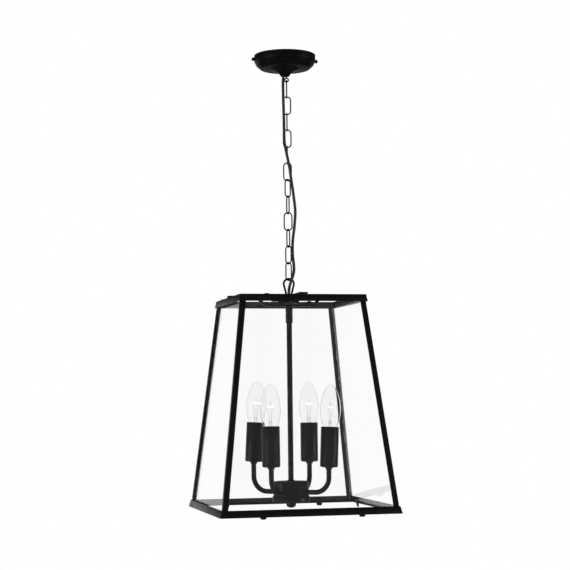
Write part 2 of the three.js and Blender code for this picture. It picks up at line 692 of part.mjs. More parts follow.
// The four lamps, each on an arm that leaves the hub's side and bends up. The nut on each
// arm lies flat inside the cup's round wall.
const hubInside = (hubRadius - hubSheet) * Math.cos(Math.PI / hubSegments);
const armNutFace = Math.sqrt(hubInside ** 2 - armNutRadius ** 2) - gap;
armTurns.forEach((turn, i) => {
  const stand = new THREE.Group();
  stand.rotation.z = turn;
  lantern.add(stand);

  // The arm's bend is a quarter of a circle.
  const bendHandle = (4 / 3) * Math.tan(Math.PI / 8) * armBend;
  const armStart = new THREE.Vector3(armNutFace - armInset, 0, armAxis);
  const bendStart = new THREE.Vector3(armReach - armBend, 0, armAxis);
  const bendEnd = new THREE.Vector3(armReach, 0, armAxis + armBend);
  const sleeveFoot = armAxis + armRises[i];
  const armEnd = new THREE.Vector3(armReach, 0, sleeveFoot + armTip);
  const armPath = new THREE.CurvePath();
  armPath.add(new THREE.LineCurve3(armStart, bendStart));
  armPath.add(new THREE.CubicBezierCurve3(
    bendStart,
    new THREE.Vector3(bendStart.x + bendHandle, 0, armAxis),
    new THREE.Vector3(armReach, 0, bendEnd.z - bendHandle),
    bendEnd,
  ));
  armPath.add(new THREE.LineCurve3(bendEnd, armEnd));
  const armTube = tubeAlong(armPath, armRadius, armSides, armSteps, armBoreRadius, armBoreSides);
  const armNut = bar(armNutRadius, armNutFace - armNutHeight, armNutFace, nutSides)
    .rotateY(Math.PI / 2)
    .translate(0, 0, armAxis);
  const armBore = bar(armBoreRadius, 0, armNutHeight * 2, armBoreSides)
    .rotateY(Math.PI / 2)
    .translate(armStart.x, 0, armAxis);

  // The lamp stands on the arm's end and leans about the foot of its sleeve.
  const lean = new THREE.Matrix4().makeRotationAxis(
    new THREE.Vector3(Math.sin(turn), Math.cos(turn), 0), radians(lampLeans[i]),
  );
  lean.setPosition(armReach, 0, sleeveFoot);

  // The lampholder: a block on the arm's end, with a socket for the lamp's cap.
  const holderTop = holderFoot + holderHeight;
  const socketFloor = holderTop - lampCapHeight;
  const holder = turned([
    [0, holderFoot], [holderRadius, holderFoot], [holderRadius, holderTop],
    [socketRadius, holderTop], [socketRadius, socketFloor], [0, socketFloor],
  ], lampSegments).applyMatrix4(lean);
  stand.add(piece(`lamp_arm_${i + 1}`, join(cut(join(armTube, armNut), armBore), holder), blackPaint));

  // The sleeve: a turned sheet with a narrow foot round the arm.
  const footRadius = armRadius + gap + sleeveSheet;
  const sleeveLine = [
    [footRadius, 0],
    ...sleeveFootShares.map(([across, up]) => [sleeveRadius * across, sleeveFootHeight * up]),
    [sleeveRadius, sleeveHeight],
  ];
  const sleeve = turnedRing(sheetAlong(sleeveLine, sleeveSheet), sleeveSegments);
  stand.add(piece(`lamp_sleeve_${i + 1}`, sleeve.applyMatrix4(lean), blackPaint));

  // The lamp: its cap in the socket, its envelope above, and its narrow exhaust tube open.
  const capBottom = socketFloor + gap;
  const capTop = capBottom + lampCapHeight;
  const envelope = [
    [lampCapRadius, capTop],
    ...lampShares.map(([across, up]) => [lampRadius * across, capTop + lampGlassHeight * up]),
  ];
  const inside = besideLine(envelope, lampGlassWall);
  const lampTop = capTop + lampGlassHeight;
  const lamp = turned([
    [lampTubeRadius, capBottom], [lampCapRadius, capBottom], ...envelope, [0, lampTop],
    [0, lampTop - lampGlassWall], ...inside.slice(1).reverse(),
    [lampTubeRadius, capTop], [lampTubeRadius, capBottom],
  ], lampSegments);
  stand.add(piece(`lamp_${i + 1}`, lamp.applyMatrix4(lean), clearGlass));
});

// Flexible cable: from the block in the rose, beside the chain, through the loop and down
// the rod's bore to the window in the hub.
const cablePlaces = [
  [cableStartX, cableStartY, cableStartZ],
  ...cableRoute,
  [0, 0, bossBottom],
  [0, 0, couplerBottom],
  [0, 0, (couplerBottom + hubTop) / 2],
  [0, 0, armAxis + rodWindowRadius],
].map((place) => new THREE.Vector3(...place));
const cableCurve = new THREE.CatmullRomCurve3(cablePlaces);
hanging.add(piece('flex_cable', tubeAlong(cableCurve, cableRadius, cableSides, cableSteps), blackSheath));

export default lantern;
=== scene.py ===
import json
import math

import bmesh
import bpy
from mathutils import Matrix, Vector
from mathutils.geometry import interpolate_bezier


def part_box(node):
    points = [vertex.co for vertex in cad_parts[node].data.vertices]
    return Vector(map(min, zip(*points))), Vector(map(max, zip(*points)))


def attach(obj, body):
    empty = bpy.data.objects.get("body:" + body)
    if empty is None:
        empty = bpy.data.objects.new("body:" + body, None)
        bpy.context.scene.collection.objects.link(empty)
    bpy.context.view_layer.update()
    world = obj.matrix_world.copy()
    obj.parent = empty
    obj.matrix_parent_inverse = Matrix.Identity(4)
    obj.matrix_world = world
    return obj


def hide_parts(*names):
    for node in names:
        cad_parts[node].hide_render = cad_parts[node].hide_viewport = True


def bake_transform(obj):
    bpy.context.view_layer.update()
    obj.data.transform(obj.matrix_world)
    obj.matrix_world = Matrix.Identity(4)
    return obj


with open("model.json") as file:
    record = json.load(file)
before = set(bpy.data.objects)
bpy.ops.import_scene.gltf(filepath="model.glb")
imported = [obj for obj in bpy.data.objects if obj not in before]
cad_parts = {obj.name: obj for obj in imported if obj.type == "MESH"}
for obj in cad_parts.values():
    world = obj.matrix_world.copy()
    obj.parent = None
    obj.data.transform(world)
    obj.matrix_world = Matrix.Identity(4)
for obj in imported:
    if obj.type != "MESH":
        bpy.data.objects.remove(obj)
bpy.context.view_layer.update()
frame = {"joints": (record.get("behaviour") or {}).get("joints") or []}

# Camera: it stands 2.7 m away and a little to the left of the lantern's front, level with the
# middle of the panes, and looks slightly up.
def turned(degrees, axis="Z"):
    """A turn about an axis."""
    return Matrix.Rotation(math.radians(degrees), 4, axis)


camera = bpy.data.objects.new("camera", bpy.data.cameras.new("camera"))
camera.data.sensor_width = 36
camera.data.lens = 97.715
camera_place = Matrix.Translation((-0.6126, -2.606, -0.597))
camera.matrix_world = camera_place @ turned(-13.088) @ turned(94.147, "X") @ turned(-0.632)
bpy.context.scene.collection.objects.link(camera)
bpy.context.scene.camera = camera

# Flexible cable: a round black flex that leaves the rose, hangs beside the chain and goes down
# through the lantern loop into the rod. It is laid in thirteen lengths that meet end to end,
# one for each place where the chain can swing, so that it follows the chain.
hang_turn = turned(-12.95)
link_count = 12
link_bodies = [f"link_{k + 1:02d}" for k in range(link_count)]
chain_pivots = [joint["pos_m"][2] for joint in frame["joints"][:link_count + 1]]
cable_diameter = 0.005
cable_overlap = 0.002
# places along the cable in millimetres, in the plane that the chain hangs in
cable_route = [
    (-20.7, -2.9, -9.3), (-18.2, -2.9, -9.4), (-12.4, -2.9, -11.1), (-7.9, -2.9, -15.6),
    (-6, -2.9, -22), (-5.6, -2.9, -37), (-6.2, -4, -50), (-6, -4.8, -78), (-5.4, -4.8, -110),
    (-5.2, -5, -138), (-4.8, -8.4, -154), (-2.6, -11.2, -168), (0.6, -11.4, -184),
    (3.6, -9.4, -200), (6.2, -6, -219), (10, -4.6, -248), (12.6, -4.2, -275), (11, -3.6, -300),
    (7.6, -1.2, -328), (7.4, 0, -350), (9.4, -1.6, -374), (7.6, -5.2, -387),
    (4.4, -5.4, -396), (1.2, -2.8, -406), (0, 0, -416), (0, 0, -433.9), (0, 0, -468.9),
    (0, 0, -605), (0, 0, -757),
]


def smooth_line(places, steps):
    """Points on one smooth curve through all the places, steps of them for each stretch."""
    places = [Vector(place) for place in places]
    line = []
    for i, (here, there) in enumerate(zip(places, places[1:])):
        before, after = places[max(i - 1, 0)], places[min(i + 2, len(places) - 1)]
        reach = (there - here).length / 3
        leaving = here + (there - before).normalized() * reach
        arriving = there - (after - here).normalized() * reach
        line += interpolate_bezier(here, leaving, arriving, there, steps + 1)[:-1]
    return [*line, places[-1]]


def wire_along(places, radius, roundness=5):
    """A mesh of round wire with closed ends along a line of places."""
    path = bpy.data.curves.new("wire", "CURVE")
    path.dimensions = "3D"
    path.bevel_depth, path.bevel_resolution = radius, roundness
    path.use_fill_caps = True
    spline = path.splines.new("POLY")
    spline.points.add(len(places) - 1)
    for point, place in zip(spline.points, places):
        point.co = (*place, 1)
    drawn = bpy.data.objects.new("wire", path)
    bpy.context.scene.collection.objects.link(drawn)
    bpy.context.view_layer.update()
    data = bpy.data.meshes.new_from_object(drawn)
    bpy.data.objects.remove(drawn)
    wire = bmesh.new()
    wire.from_mesh(data)
    bpy.data.meshes.remove(data)
    return wire


def wired(tree, node, inputs):
    """Puts sockets or plain values on the inputs of a node, and gives the node."""
    for place, value in inputs.items():
        if isinstance(value, bpy.types.NodeSocket):
            tree.links.new(value, node.inputs[place])
        else:
            node.inputs[place].default_value = value
    return node


def added(tree, kind, inputs, **settings):
    """Adds a node to a tree, with its settings and what is on its inputs."""
    node = tree.nodes.new(kind)
    for name, setting in settings.items():
        setattr(node, name, setting)
    return wired(tree, node, inputs)


def new_finish(name):
    """A material to be worked on, with its nodes and its shader."""
    material = bpy.data.materials.new(name)
    material.use_nodes = True
    return material, material.node_tree, material.node_tree.nodes["Principled BSDF"]


def sheath_plastic():
    """Black flexible plastic with a dull skin and a faint lengthwise drag from the die."""
    material, tree, shader = new_finish("sheath_plastic")
    place = added(tree, "ShaderNodeTexCoord", {}).outputs["Object"]
    drag = added(tree, "ShaderNodeMapping", {"Vector": place, "Scale": (1, 1, 0.08)})
    skin = added(tree, "ShaderNodeTexNoise", {
        "Vector": drag.outputs["Vector"], "Scale": 1400, "Detail": 3,
    }).outputs["Fac"]
    dull = added(tree, "ShaderNodeMapRange", {"Value": skin, "To Min": 0.38, "To Max": 0.6})
    tone = added(tree, "ShaderNodeMix", {
        "Factor": skin, "A": (0.008, 0.008, 0.0085, 1), "B": (0.018, 0.018, 0.018, 1),
    }, data_type="RGBA")
    bump = added(tree, "ShaderNodeBump", {"Height": skin, "Distance": 0.00005, "Strength": 0.4})
    wired(tree, shader, {
        "IOR": 1.48, "Base Color": tone.outputs["Result"], "Roughness": dull.outputs["Result"],
        "Normal": bump.outputs["Normal"],
    })
    return material


cable_line = [hang_turn @ (point * 0.001) for point in smooth_line(cable_route, 30)]
sheath = sheath_plastic()
meeting = [0, *[(a + b) / 2 for a, b in zip(chain_pivots, chain_pivots[1:])], -1]
for k, (above, below) in enumerate(zip(meeting, meeting[1:])):
    # each length runs on a little into the next, so that no joint shows
    stretch = [p for p in cable_line if below - cable_overlap <= p.z <= above + cable_overlap]
    tube = wire_along(stretch, cable_diameter / 2)
    length = bpy.data.objects.new(f"cable_{k + 1:02d}", bpy.data.meshes.new(f"cable_{k + 1:02d}"))
    tube.to_mesh(length.data)
    tube.free()
    bpy.context.scene.collection.objects.link(length)
    length.data.materials.append(sheath)
    length.data.shade_smooth()
    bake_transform(length)
    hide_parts("flex_cable")
    run = sum((there - here).length for here, there in zip(stretch, stretch[1:]))

# Studio: a plain pale floor under the lantern, soft lamps at both sides and above, and white
# all round it. The metal and the glass mirror a darker room with a white backdrop behind the
# lantern, a grey wall before it and the three soft lamps.
floor_level, floor_reach = -1.6, 1.8
floor_mesh = bmesh.new()
bmesh.ops.create_circle(floor_mesh, cap_ends=True, segments=96, radius=floor_reach)
bmesh.ops.translate(floor_mesh, verts=floor_mesh.verts, vec=(0, 0, floor_level))
floor_data = bpy.data.meshes.new("floor")
floor_mesh.to_mesh(floor_data)
floor_mesh.free()
floor = bpy.data.objects.new("floor", floor_data)
bpy.context.scene.collection.objects.link(floor)
floor_finish, floor_tree, floor_shader = new_finish("pale_floor")
floor_rays = added(floor_tree, "ShaderNodeLightPath", {}).outputs
floor_seen = added(floor_tree, "ShaderNodeMath", {
    0: floor_rays["Is Camera Ray"], 1: floor_rays["Is Transmission Ray"],
}, operation="MAXIMUM")
whitening = added(floor_tree, "ShaderNodeMath", {
    0: floor_seen.outputs["Value"], 1: 0.45,
}, operation="MULTIPLY")
wired(floor_tree, floor_shader, {
    "Base Color": (0.86, 0.86, 0.86, 1), "Roughness": 0.9, "Specular IOR Level": 0.1,
    "Emission Color": (1, 1, 1, 1), "Emission Strength": whitening.outputs["Value"],
})
floor.data.materials.append(floor_finish)

world = bpy.data.worlds.new("studio")
bpy.context.scene.world = world
world.use_nodes = True
world.cycles.sampling_method = "NONE"
sky = world.node_tree
sky.nodes.clear()


def worked_out(operation, *given):
    """A sum in the sky."""
    return added(sky, "ShaderNodeMath", dict(enumerate(given)), operation=operation).outputs[0]


def glow(value, none_at, full_at, most=1.0, fade="SMOOTHSTEP"):
    """A glow that grows from none to its most as a value goes from one mark to another."""
    return added(sky, "ShaderNodeMapRange", {
        "Value": value, "From Min": none_at, "From Max": full_at, "To Max": most,
    }, interpolation_type=fade).outputs["Result"]


direction = added(sky, "ShaderNodeTexCoord", {}).outputs["Generated"]
parts = added(sky, "ShaderNodeSeparateXYZ", {"Vector": direction}).outputs
rightward, backward, upward = parts["X"], parts["Y"], parts["Z"]
dark_room, below_horizon = 0.09, 0.055
# the backdrop shows as a band just under the horizon, which is taller on the left
off_middle = worked_out("ABSOLUTE", worked_out("ADD", upward, below_horizon))
taller_on_left = glow(rightward, 0.1, -0.1, 0.06)
band = glow(worked_out("SUBTRACT", off_middle, taller_on_left), 0.13, 0.085)
mirrored = worked_out("MULTIPLY_ADD", glow(backward, 0.5, 0.95, 0.9), band, dark_room)
level = glow(worked_out("ABSOLUTE", upward), 0.55, 0.3)
mirrored = worked_out("MULTIPLY_ADD", glow(backward, -0.2, -0.9, 0.24), level, mirrored)
# the soft lamps' mirror images: the lamps themselves are hidden from mirrors and glass, because
# the panes would show them straight through
for towards, rim, full, strength in (
    ((-0.958, -0.258, -0.129), 0.9703, 0.9816, 8.5),
    ((0.893, -0.447, -0.056), 0.973, 0.983, 7.5),
    ((-0.114, -0.228, 0.967), 0.93, 0.95, 1.25),
):
    near = added(sky, "ShaderNodeVectorMath", {0: direction, 1: towards}, operation="DOT_PRODUCT")
    patch = glow(near.outputs["Value"], rim, full, strength, "LINEAR")
    mirrored = worked_out("ADD", patch, mirrored)
rays = added(sky, "ShaderNodeLightPath", {}).outputs
thrown_back = worked_out("ADD", rays["Glossy Depth"], rays["Diffuse Depth"])
plain_light, white = 0.75, 1.0
lighting = added(sky, "ShaderNodeMix", {
    "Factor": rays["Glossy Depth"], "A": plain_light, "B": mirrored,
})
seen = added(sky, "ShaderNodeMix", {
    "Factor": thrown_back, "A": white, "B": lighting.outputs["Result"],
})
air = added(sky, "ShaderNodeBackground", {
    "Color": (1, 1, 1, 1), "Strength": seen.outputs["Result"],
})
added(sky, "ShaderNodeOutputWorld", {"Surface": air.outputs["Background"]})


def softbox(name, place, aim, width, height, watts):
    """A large soft lamp that faces a point, and that only the rough part of a surface shows."""
    lamp = bpy.data.lights.new(name, "AREA")
    lamp.shape = "RECTANGLE"
    lamp.size, lamp.size_y = width, height
    lamp.energy = watts
    box = bpy.data.objects.new(name, lamp)
    facing = (Vector(aim) - Vector(place)).to_track_quat("-Z", "Y")
    box.matrix_world = Matrix.Translation(place) @ facing.to_matrix().to_4x4()
    box.visible_transmission = box.visible_glossy = False
    bpy.context.scene.collection.objects.link(box)


softbox("left_softbox", (-2.6, -0.7, -1.0), (0, 0, -0.75), 1.4, 0.8, 15)
softbox("right_softbox", (2.4, -1.2, -0.8), (0, 0, -0.7), 1.0, 1.0, 14)
softbox("top_softbox", (-0.3, -0.6, 1.9), (0, 0, -0.5), 1.6, 1.6, 11)


# Ceiling bracket: a zinc-plated steel bar under the ceiling with two ends turned down for the
# rose's screws, and a threaded boss under its middle for the hook.
def paint_grain():
    """A group for the fine skin of sprayed paint: a slow drift in tone, and a close ripple."""
    group = bpy.data.node_groups.new("paint_grain", "ShaderNodeTree")
    group.interface.new_socket("Place", in_out="INPUT", socket_type="NodeSocketVector")
    group.interface.new_socket("Grain Size", in_out="INPUT", socket_type="NodeSocketFloat")
    group.interface.new_socket("Drift", in_out="OUTPUT", socket_type="NodeSocketFloat")
    group.interface.new_socket("Ripple", in_out="OUTPUT", socket_type="NodeSocketFloat")
    given = added(group, "NodeGroupInput", {}).outputs
    drift = added(group, "ShaderNodeTexNoise", {
        "Vector": given["Place"], "Scale": 38, "Detail": 4,
    })
    ripple = added(group, "ShaderNodeTexNoise", {
        "Vector": given["Place"], "Scale": given["Grain Size"], "Detail": 2,
    })
    added(group, "NodeGroupOutput", {
        "Drift": drift.outputs["Fac"], "Ripple": ripple.outputs["Fac"],
    })
    return group


def edge_rub():
    """A group for edges that handling has rubbed: patches of the faces marked as rubbed."""
    group = bpy.data.node_groups.new("edge_rub", "ShaderNodeTree")
    group.interface.new_socket("Place", in_out="INPUT", socket_type="NodeSocketVector")
    group.interface.new_socket("Rubbed", in_out="OUTPUT", socket_type="NodeSocketFloat")
    given = added(group, "NodeGroupInput", {}).outputs
    edge = added(group, "ShaderNodeAttribute", {}, attribute_name="rubbed")
    patches = added(group, "ShaderNodeTexNoise", {
        "Vector": given["Place"], "Scale": 120, "Detail": 5,
    })
    worn = added(group, "ShaderNodeMapRange", {
        "Value": patches.outputs["Fac"], "From Min": 0.42, "From Max": 0.62,
    })
    both = added(group, "ShaderNodeMath", {
        0: edge.outputs["Fac"], 1: worn.outputs["Result"],
    }, operation="MULTIPLY")
    added(group, "NodeGroupOutput", {"Rubbed": both.outputs["Value"]})
    return group


grain_group, rub_group = paint_grain(), edge_rub()


def painted(name, deep, light, rubbed, dull, grain, ripple, metallic=0.0, sheen=0.35):
    """A finish on metal: two near tones that drift, rubbed edges and a fine ripple."""
    material, tree, shader = new_finish(name)
    place = added(tree, "ShaderNodeTexCoord", {}).outputs["Object"]
    skin = added(tree, "ShaderNodeGroup", {
        "Place": place, "Grain Size": grain,
    }, node_tree=grain_group)
    edges = added(tree, "ShaderNodeGroup", {"Place": place}, node_tree=rub_group)
    drift = skin.outputs["Drift"]
    tone = added(tree, "ShaderNodeMix", {
        "Factor": drift, "A": (*deep, 1), "B": (*light, 1),
    }, data_type="RGBA")
    wear = added(tree, "ShaderNodeMix", {
        "Factor": edges.outputs["Rubbed"], "A": tone.outputs["Result"], "B": (*rubbed, 1),
    }, data_type="RGBA")
    gloss = added(tree, "ShaderNodeMapRange", {
        "Value": drift, "From Min": 0.3, "From Max": 0.7, "To Min": dull[0], "To Max": dull[1],
    })
    bump = added(tree, "ShaderNodeBump", {
        "Height": skin.outputs["Ripple"], "Distance": 0.0001, "Strength": ripple,
    })
    wired(tree, shader, {
        "Metallic": metallic, "Specular IOR Level": sheen, "Base Color": wear.outputs["Result"],
        "Roughness": gloss.outputs["Result"], "Normal": bump.outputs["Normal"],
    })
    return material


def moved(shape, matrix):
    """Moves a whole mesh, and gives it."""
    bmesh.ops.transform(shape, matrix=matrix, verts=shape.verts)
    return shape


def corners_in(made):
    """The vertices in what an operator made."""
    return [v for v in made if isinstance(v, bmesh.types.BMVert)]


def softened(shape, width, segments=2, sharper_than=30):
    """Rounds every edge of a mesh that is sharper than an angle, and marks it as rubbed."""
    bmesh.ops.remove_doubles(shape, verts=shape.verts, dist=1e-6)
    bmesh.ops.recalc_face_normals(shape, faces=shape.faces)
    limit = math.radians(sharper_than)
    edges = [e for e in shape.edges if e.is_manifold and e.calc_face_angle(0) > limit]
    marks = shape.faces.layers.float.get("rubbed") or shape.faces.layers.float.new("rubbed")
    rounds = bmesh.ops.bevel(
        shape, geom=edges, offset=width, offset_type="OFFSET", segments=segments,
        profile=0.5, affect="EDGES", clamp_overlap=True, material=-1,
    )["faces"]
    for face in rounds:
        face[marks] = 1
    return shape


def spun(outline, steps=96):
    """A mesh turned about the hanging line from an outline of radii and heights."""
    shape = bmesh.new()
    corners = [shape.verts.new((radius, 0, height)) for radius, height in outline]
    edges = [shape.edges.new(pair) for pair in zip(corners, corners[1:])]
    bmesh.ops.spin(
        shape, geom=corners + edges, cent=(0, 0, 0), axis=(0, 0, 1), dvec=(0, 0, 0),
        angle=math.tau, steps=steps, use_merge=True,
    )
    bmesh.ops.remove_doubles(shape, verts=shape.verts, dist=1e-6)
    bmesh.ops.recalc_face_normals(shape, faces=shape.faces)
    return shape


def collar(outer, bore, bottom, top, steps=64):
    """A turned tube between two heights."""
    outline = [(bore, bottom), (outer, bottom), (outer, top), (bore, top), (bore, bottom)]
    return spun(outline, steps)


def put_in(whole, addition, where=Matrix.Identity(4)):
    """Adds one mesh to another, in its place, and lets it go."""
    loose = bpy.data.meshes.new("loose")
    moved(addition, where).to_mesh(loose)
    addition.free()
    whole.from_mesh(loose)
    bpy.data.meshes.remove(loose)


def fitted(name, shape, finish, body, slot, *nodes, crease=40):
    """Makes a finished piece of a mesh, on the body that it moves with."""
    data = bpy.data.meshes.new(name)
    shape.to_mesh(data)
    shape.free()
    data.shade_smooth()
    data.set_sharp_from_angle(angle=math.radians(crease))
    data.materials.append(finish)
    piece = bpy.data.objects.new(name, data)
    bpy.context.scene.collection.objects.link(piece)
    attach(piece, body)
    if nodes:
        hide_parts(*nodes)


def drilled(shape, tools):
    """Cuts meshes out of a mesh, and gives the mesh that is left."""
    things = []
    for part in (shape, *tools):
        data = bpy.data.meshes.new("drilled")
        part.to_mesh(data)
        part.free()
        things.append(bpy.data.objects.new("drilled", data))
        bpy.context.scene.collection.objects.link(things[-1])
    for tool in things[1:]:
        cut = things[0].modifiers.new("cut", "BOOLEAN")
        cut.operation, cut.solver, cut.object = "DIFFERENCE", "EXACT", tool
    bpy.context.view_layer.update()
    seen_from = bpy.context.evaluated_depsgraph_get()
    done = bmesh.new()
    done.from_object(things[0], seen_from)
    for thing in things:
        data = thing.data
        bpy.data.objects.remove(thing)
        bpy.data.meshes.remove(data)
    return done


def strip(line, width, thickness):
    """A flat bar of a width across Y, bent along a line of X and Z, its thickness on the left."""
    shape = bmesh.new()
    corners = [shape.verts.new((x, -width / 2, z)) for x, z in line]
    edges = [shape.edges.new(pair) for pair in zip(corners, corners[1:])]
    drawn = bmesh.ops.extrude_edge_only(shape, edges=edges)["geom"]
    bmesh.ops.translate(shape, verts=corners_in(drawn), vec=(0, width, 0))
    for face in shape.faces:
        face.normal_update()
    bmesh.ops.solidify(shape, geom=shape.faces[:], thickness=thickness)
    return shape


zinc = painted(
    "zinc_plate", (0.42, 0.42, 0.41), (0.55, 0.55, 0.54), (0.7, 0.7, 0.68),
    (0.28, 0.45), 2600, 0.15, metallic=1.0, sheen=0.5,
)
# the rose and its bracket hang a little off the chain's line
rose_centre = Matrix.Translation((-0.003, -0.0012, 0))
bracket = strip([(-0.0482, -0.013), (-0.0482, 0), (0.0482, 0), (0.0482, -0.013)], 0.02, -0.0025)
softened(bracket, 0.0004)
bracket_holes = [
    moved(spun([(0, -0.01), (0.0026, -0.01), (0.0026, 0.01), (0, 0.01)], 40),
          Matrix.Translation((side * 0.032, 0, 0)))
    for side in (-1, 1)
]
bracket = moved(drilled(bracket, bracket_holes), rose_centre)
put_in(bracket, collar(0.005, 0.00155, -0.0105, -0.0024, 40))
fitted("bracket", bracket, zinc, "ceiling_fitting", "zinc_steel", "ceiling_bracket")

# Ceiling rose: a cup spun from thin steel sheet with a stepped shoulder, a flat underside and
# a trumpet that the chain and the cable come out of. It is sprayed black inside and out, a
# little duller than the lantern.
black_paint = painted(
    "satin_black_paint", (0.0015, 0.0015, 0.0016), (0.003, 0.003, 0.0031),
    (0.012, 0.0115, 0.011), (0.38, 0.46), 1600, 0.04, sheen=0.17,
)
rose_black = painted(
    "rose_black", (0.0015, 0.0015, 0.0016), (0.003, 0.003, 0.0031),
    (0.008, 0.0077, 0.0074), (0.4, 0.48), 1600, 0.05, sheen=0.07,
)
rose_line = [
    *smooth_line([(0.0075, -0.037), (0.0107, -0.0321), (0.0167, -0.028), (0.025, -0.0248)], 6),
    (0.0262, -0.024), (0.043, -0.024), (0.05, -0.018), (0.0535, -0.011), (0.0535, 0),
]
rose = spun(rose_line, 160)
bmesh.ops.solidify(rose, geom=rose.faces[:], thickness=0.0012)
softened(rose, 0.0005, segments=3, sharper_than=18)
moved(rose, rose_centre)
fitted("rose", rose, rose_black, "ceiling_fitting", "black_paint", "ceiling_rose", crease=25)

# Thumb screws: one through each side of the rose's wall into the bracket's end. Their heads
# are knurled, so that they turn by hand.
head_skin, groove_share, groove_degrees = 0.00295, 0.07, 7.5
for side, name in ((-1, "left"), (1, "right")):
    screw = spun([
        (0, 0.0417), (0.0015, 0.0417), (0.0015, 0.0538), (0.0029, 0.0538), (0.003, 0.054),
        (0.003, 0.0584), (0.0027, 0.0588), (0, 0.0588),
    ], 48)
    for vertex in screw.verts:
        heading = math.degrees(math.atan2(vertex.co.y, vertex.co.x))
        if vertex.co.xy.length > head_skin and round(heading / groove_degrees) % 2:
            vertex.co.xy *= 1 - groove_share
    moved(screw, rose_centre @ Matrix.Translation((0, 0, -0.0085)) @ turned(90 * side, "Y"))
    fitted(f"thumb_screw_{name}", screw, rose_black, "ceiling_fitting", "black_paint",
           f"rose_screw_{name}")

# Rose hook: black wire bent into an eye, with a stem that is screwed up into the boss.
chain_black = painted(
    "chain_black", (0.002, 0.002, 0.002), (0.005, 0.005, 0.0048), (0.1, 0.095, 0.09),
    (0.34, 0.5), 1800, 0.2, sheen=0.2,
)


def wire_round(shape, radius, centre, sides=16):
    """A circle of wire, flat in X and Y, ready to be swept."""
    made = bmesh.ops.create_circle(shape, segments=sides, radius=radius)
    bmesh.ops.translate(shape, verts=made["verts"], vec=centre)
    return made["verts"]


def sweep(shape, ring, centre, degrees, steps):
    """Sweeps the end of a wire about a line through a centre across the eye's plane."""
    edges = [e for e in shape.edges if e.verts[0] in ring and e.verts[1] in ring]
    swept = bmesh.ops.spin(
        shape, geom=[*ring, *edges], cent=centre, axis=(0, 1, 0), dvec=(0, 0, 0),
        angle=math.radians(degrees), steps=steps,
    )["geom_last"]
    return corners_in(swept)


def draw_out(shape, ring, run, swell=1.0):
    """Draws the end of a wire out in a straight line, and may swell it there."""
    edges = [e for e in shape.edges if e.verts[0] in ring and e.verts[1] in ring]
    end = corners_in(bmesh.ops.extrude_edge_only(shape, edges=edges)["geom"])
    bmesh.ops.translate(shape, verts=end, vec=run)
    middle = sum((v.co for v in end), Vector()) / len(end)
    bmesh.ops.scale(shape, verts=end, vec=(swell,) * 3, space=Matrix.Translation(-middle))
    return end


hook_wire, eye_radius, eye_height = 0.00125, 0.00325, -0.0431
hook = bmesh.new()
eye_ring = wire_round(hook, hook_wire, (eye_radius, 0, eye_height))
sweep(hook, eye_ring, (0, 0, eye_height), 360, 48)
bmesh.ops.remove_doubles(hook, verts=hook.verts, dist=1e-6)
put_in(hook, collar(hook_wire, 0, eye_height + 0.0032, -0.0048, 24))
bmesh.ops.recalc_face_normals(hook, faces=hook.faces)
moved(hook, hang_turn)
fitted("hook", hook, chain_black, "ceiling_fitting", "black_chain", "rose_hook")

# Connector block in the rose: pale nylon with three ways, each with two screw wells.
nylon = painted(
    "pale_nylon", (0.74, 0.73, 0.68), (0.82, 0.81, 0.77), (0.86, 0.85, 0.82),
    (0.45, 0.6), 1500, 0.1, sheen=0.5,
)


def connector(length, width, height):
    """A block of ways side by side along X, with a round screw well at each end of a way."""
    shape = bmesh.new()
    bmesh.ops.create_cube(shape, size=1)
    bmesh.ops.scale(shape, verts=shape.verts, vec=(length, width, height * 0.6))
    bmesh.ops.translate(shape, verts=shape.verts, vec=(0, 0, -height * 0.2))
    softened(shape, height * 0.06)
    for way in (-1, 0, 1):
        for end in (-1, 1):
            well = collar(length * 0.13, length * 0.08, height * 0.02, height / 2, 24)
            put_in(shape, well, Matrix.Translation((way * length * 0.32, end * width * 0.26, 0)))
    return shape


rose_block = connector(0.019, 0.015, 0.0125)
moved(rose_block, hang_turn @ Matrix.Translation((-0.0305, -0.0029, -0.0093)))
fitted("rose_connector", rose_block, nylon, "ceiling_fitting", "pale_nylon",
       "rose_terminal_block")

# Chain: twelve oval links of round black wire, each bent shut through its neighbour and
# welded in the middle of one side.
wire_radius, link_height, link_width = 0.00114, 0.0336, 0.0156
bow_radius = link_width / 2 - wire_radius
bow_height = (link_height - link_width) / 2
# the side with the weld: shares of its length, and how the wire swells and thins over each
weld = [(0.47, 1), (0.02, 1.14), (0.02, 1), (0.02, 0.877), (0.47, 1)]
link_turns = [90, 0, 90, 0, 90, 0, 48, 108, 180, 249, 314, 405]
for body, turn in zip(link_bodies, link_turns):
    link = bmesh.new()
    end = wire_round(link, wire_radius, (bow_radius, 0, bow_height))
    end = sweep(link, end, (0, 0, bow_height), -180, 24)
    for step in range(4):
        end = draw_out(link, end, (0, 0, -bow_height / 2))
    end = sweep(link, end, (0, 0, -bow_height), -180, 24)
    for share, swell in weld:
        end = draw_out(link, end, (0, 0, 2 * bow_height * share), swell)
    bmesh.ops.remove_doubles(link, verts=link.verts, dist=2e-5)
    bmesh.ops.recalc_face_normals(link, faces=link.faces)
    low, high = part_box(f"chain_{body}")
    middle = Matrix.Translation((0, 0, (low[2] + high[2]) / 2))
    moved(link, hang_turn @ middle @ turned(turn))
    fitted(body, link, chain_black, body, "black_chain", f"chain_{body}")

# Lantern loop: a pear-shaped loop of thicker wire, brazed into a turned collar. A hollow
# threaded tail below the collar takes the cable through.
loop_radius, loop_wire = 0.0088, 0.0018
loop_centre = Vector((0, 0, -0.3922 - loop_radius))
neck = Vector((0.0042, 0, -0.4204))
drop = loop_centre.z - neck.z
